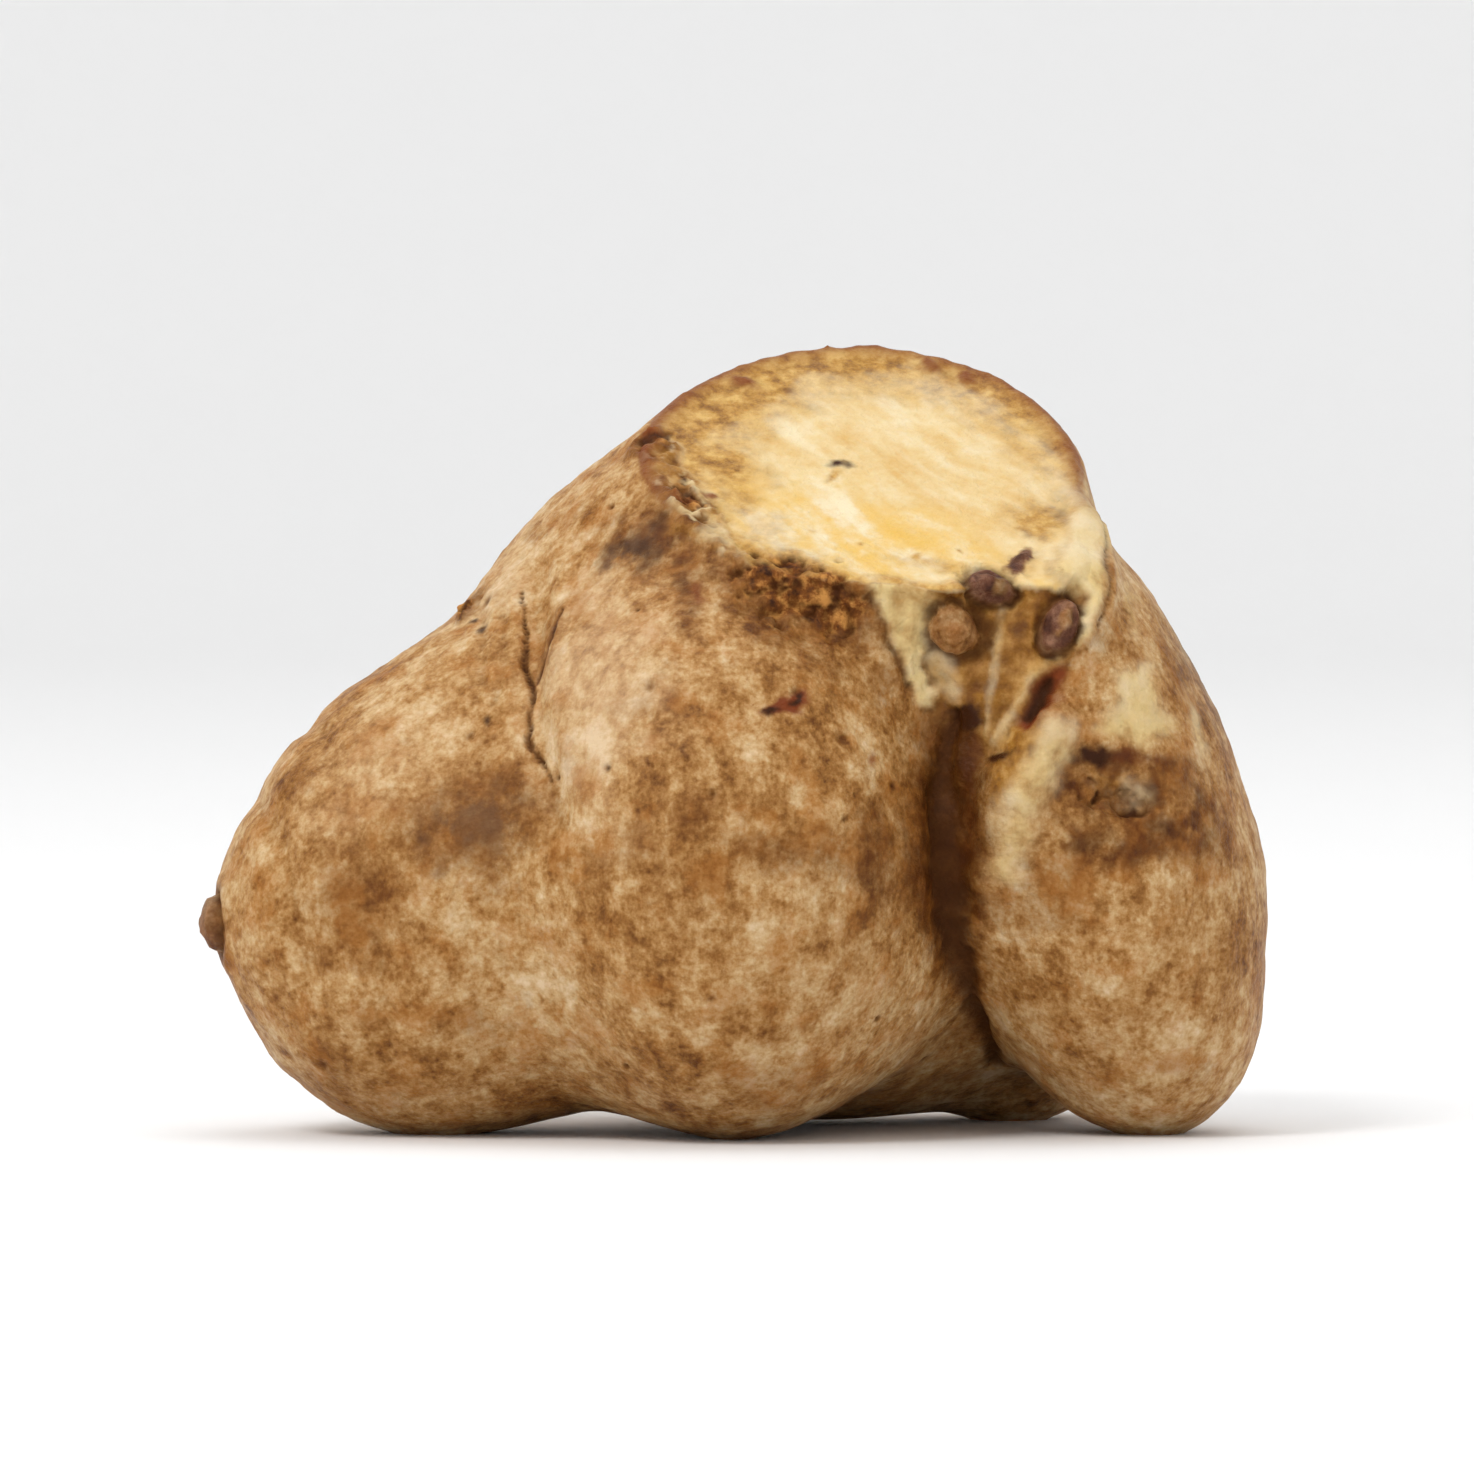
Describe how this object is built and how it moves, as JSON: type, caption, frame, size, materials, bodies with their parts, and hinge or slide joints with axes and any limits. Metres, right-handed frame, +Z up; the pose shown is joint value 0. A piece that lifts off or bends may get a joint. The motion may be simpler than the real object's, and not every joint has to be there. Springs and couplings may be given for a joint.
{
  "type": "jerusalem artichoke tuber",
  "caption": "Knobbly tuber with rounded lobes, ringed knobs and buds, its top branch cut off flat to show the flesh, lying on low points.",
  "frame": {"origin": "middle of the box round the tuber, on the surface that it lies on", "axes": "+X to the right along the tuber's length, from the pointed limb to the tall right lobe, +Y away from the front that the cut face leans towards, +Z up"},
  "size_m": [0.0708, 0.0474, 0.0526],
  "materials": {
    "skin": "thin smooth tan to brown plant skin with a faint waxy sheen, darker blotches, corky scars and a pale cream cut face"
  },
  "bodies": {
    "root": {"tuber": "skin"}
  },
  "joints": []
}
